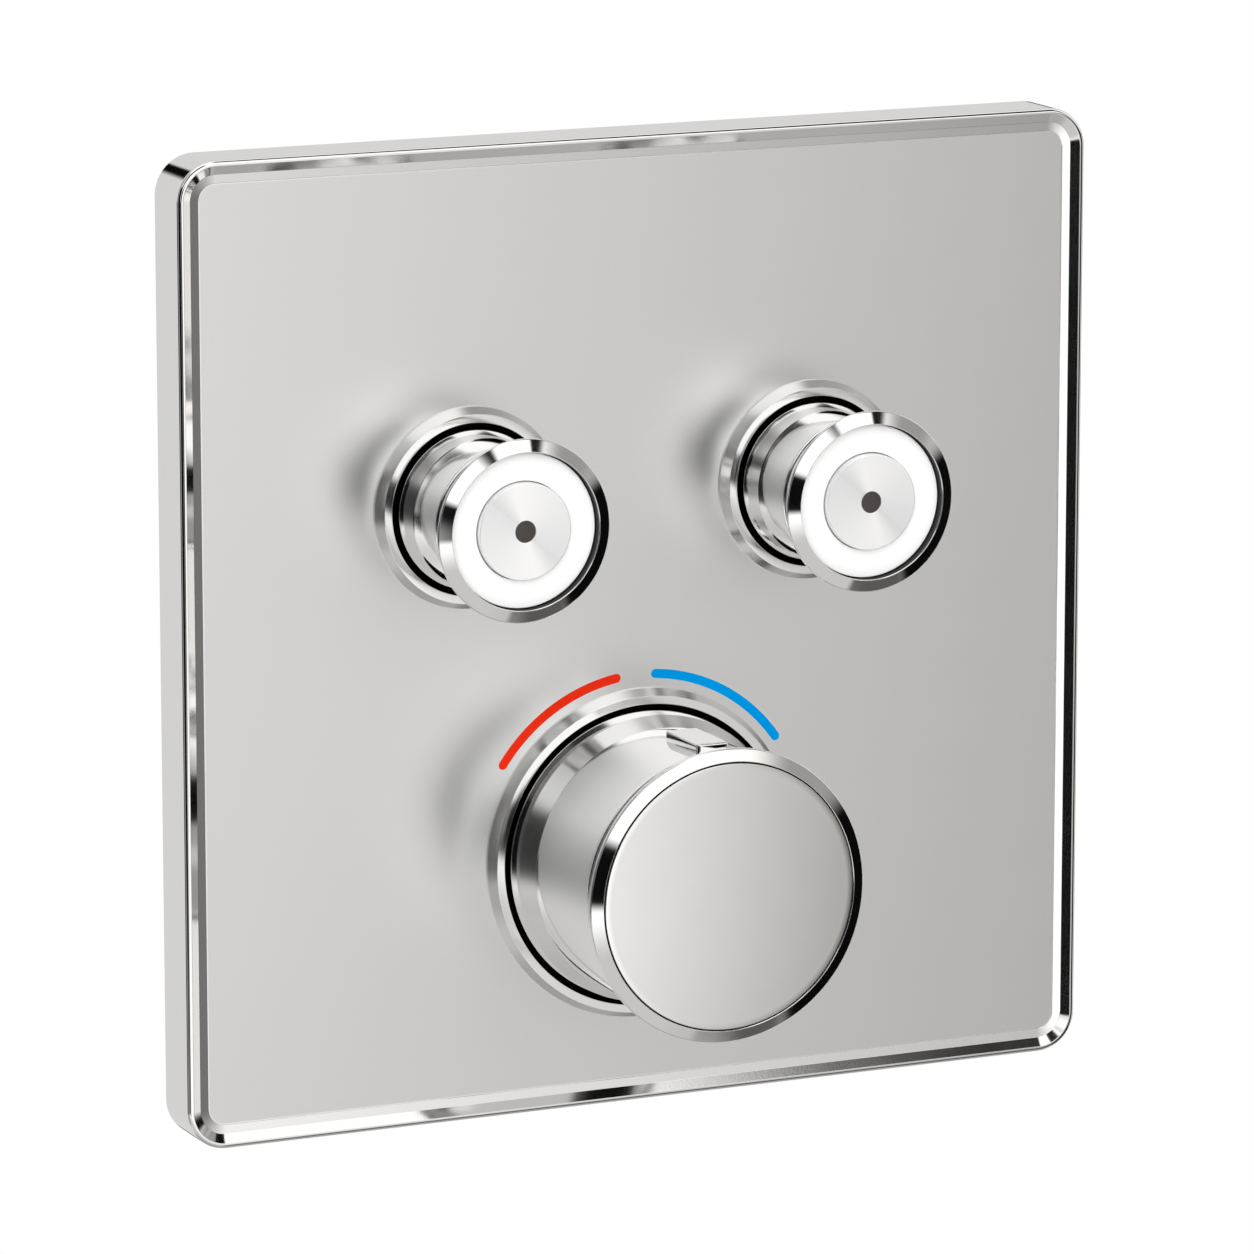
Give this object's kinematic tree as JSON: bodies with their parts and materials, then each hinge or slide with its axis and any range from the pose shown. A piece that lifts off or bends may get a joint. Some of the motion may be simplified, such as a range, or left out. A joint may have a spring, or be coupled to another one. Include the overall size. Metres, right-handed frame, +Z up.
{
  "type": "concealed thermostatic shower valve",
  "caption": "Square chrome wall plate with a round temperature knob and two round push-and-turn buttons, and the thermostatic valve unit that sits behind it in the wall.",
  "frame": {"origin": "middle of the wall plate's back, on the finished wall's surface", "axes": "+Y into the wall, +X to the right and +Z up as seen from the room"},
  "size_m": [0.158, 0.121, 0.158],
  "materials": {
    "polished_chrome": "mirror polished chrome plating",
    "white_face": "smooth gloss white",
    "spun_metal": "spun in fine circles, satin",
    "valve_brass": "cast and machined, dull",
    "machined_brass": "turned, bright",
    "stainless": "bright, fine machining marks",
    "black_rubber": "matt black rubber",
    "grey_foam": "soft foam rubber",
    "black_plastic": "moulded, fine grain",
    "white_plastic": "moulded, satin",
    "grey_plastic": "moulded, satin",
    "copper": "drawn copper"
  },
  "bodies": {
    "root": {"faceplate": "polished_chrome", "wall_seal": "grey_foam", "carrier_plate": "grey_plastic", "carrier_screws": "stainless", "temperature_sleeve": "polished_chrome", "left_sleeve": "polished_chrome", "right_sleeve": "polished_chrome", "sleeve_seals": "black_rubber", "valve_body": "valve_brass", "fixing_screws": "stainless", "hot_inlet_nipple": "machined_brass", "cold_inlet_nipple": "machined_brass", "left_outlet_nipple": "machined_brass", "right_outlet_nipple": "machined_brass", "nipple_seals": "black_rubber", "hot_check_cage": "white_plastic", "cold_check_cage": "white_plastic", "hot_check_spring": "stainless", "cold_check_spring": "stainless", "hot_strainer": "stainless", "cold_strainer": "stainless", "gallery_plugs": "machined_brass", "thermostat_housing": "black_plastic", "thermostat_nut": "machined_brass", "thermostat_seals": "black_rubber", "stop_ring": "white_plastic", "left_cartridge": "black_plastic", "right_cartridge": "black_plastic", "left_cartridge_nut": "machined_brass", "right_cartridge_nut": "machined_brass", "cartridge_seals": "black_rubber", "return_spring": "stainless", "left_push_spring": "stainless", "right_push_spring": "stainless"},
    "knob": {"knob_shell": "polished_chrome", "knob_cap": "polished_chrome", "knob_adapter": "white_plastic", "knob_screw": "stainless", "spindle": "machined_brass", "stop_button_spring": "stainless"},
    "stop_button": {"stop_button": "polished_chrome"},
    "regulator": {"regulating_nut": "machined_brass", "overtravel_spring": "stainless", "overtravel_plunger": "machined_brass", "wax_element": "copper", "shuttle": "grey_plastic"},
    "left_button": {"left_stem": "machined_brass"},
    "left_dial": {"left_collar": "polished_chrome", "left_face_ring": "white_face", "left_disc": "spun_metal"},
    "left_throttle": {"left_throttle": "grey_plastic"},
    "right_button": {"right_stem": "machined_brass"},
    "right_dial": {"right_collar": "polished_chrome", "right_face_ring": "white_face", "right_disc": "spun_metal"},
    "right_throttle": {"right_throttle": "grey_plastic"},
    "hot_check": {"hot_check_poppet": "grey_plastic"},
    "cold_check": {"cold_check_poppet": "grey_plastic"}
  },
  "joints": [
    {"name": "temp_turn", "type": "hinge", "parent": "root", "child": "knob", "pos_m": [0, 0, -0.038], "axis": [0, -1, 0], "range_deg": [-200, 70]},
    {"name": "regulator_slide", "type": "slide", "parent": "root", "child": "regulator", "axis": [0, -1, 0], "range_m": [-0.0015, 0.0006], "deforming": ["return_spring"]},
    {"name": "stop_press", "type": "slide", "parent": "knob", "child": "stop_button", "axis": [0, 0, -1], "range_m": [0, 0.0012], "stiffness_N_per_m": 120, "springref_m": -0.004, "deforming": ["stop_button_spring"]},
    {"name": "left_push", "type": "slide", "parent": "root", "child": "left_button", "axis": [0, 1, 0], "range_m": [0, 0.0035], "stiffness_N_per_m": 1800, "springref_m": -0.004, "deforming": ["left_push_spring"]},
    {"name": "left_turn", "type": "hinge", "parent": "left_button", "child": "left_dial", "pos_m": [-0.03, 0, 0.021], "axis": [0, -1, 0], "range_deg": [-90, 0]},
    {"name": "left_throttle_turn", "type": "hinge", "parent": "root", "child": "left_throttle", "pos_m": [-0.03, 0, 0.021], "axis": [0, -1, 0], "range_deg": [-90.5, 0.5]},
    {"name": "right_push", "type": "slide", "parent": "root", "child": "right_button", "axis": [0, 1, 0], "range_m": [0, 0.0035], "stiffness_N_per_m": 1800, "springref_m": -0.004, "deforming": ["right_push_spring"]},
    {"name": "right_turn", "type": "hinge", "parent": "right_button", "child": "right_dial", "pos_m": [0.03, 0, 0.021], "axis": [0, -1, 0], "range_deg": [-90, 0]},
    {"name": "right_throttle_turn", "type": "hinge", "parent": "root", "child": "right_throttle", "pos_m": [0.03, 0, 0.021], "axis": [0, -1, 0], "range_deg": [-90.5, 0.5]},
    {"name": "hot_check_slide", "type": "slide", "parent": "root", "child": "hot_check", "axis": [0, -1, 0], "range_m": [0, 0.0025], "stiffness_N_per_m": 60, "springref_m": -0.004, "deforming": ["hot_check_spring"]},
    {"name": "cold_check_slide", "type": "slide", "parent": "root", "child": "cold_check", "axis": [0, -1, 0], "range_m": [0, 0.0025], "stiffness_N_per_m": 60, "springref_m": -0.004, "deforming": ["cold_check_spring"]}
  ],
  "couplings": [
    {"joint": "regulator_slide", "follows": "temp_turn", "m_per_rad": 0.00039789},
    {"joint": "left_throttle_turn", "follows": "left_turn", "ratio": 1},
    {"joint": "right_throttle_turn", "follows": "right_turn", "ratio": 1}
  ]
}
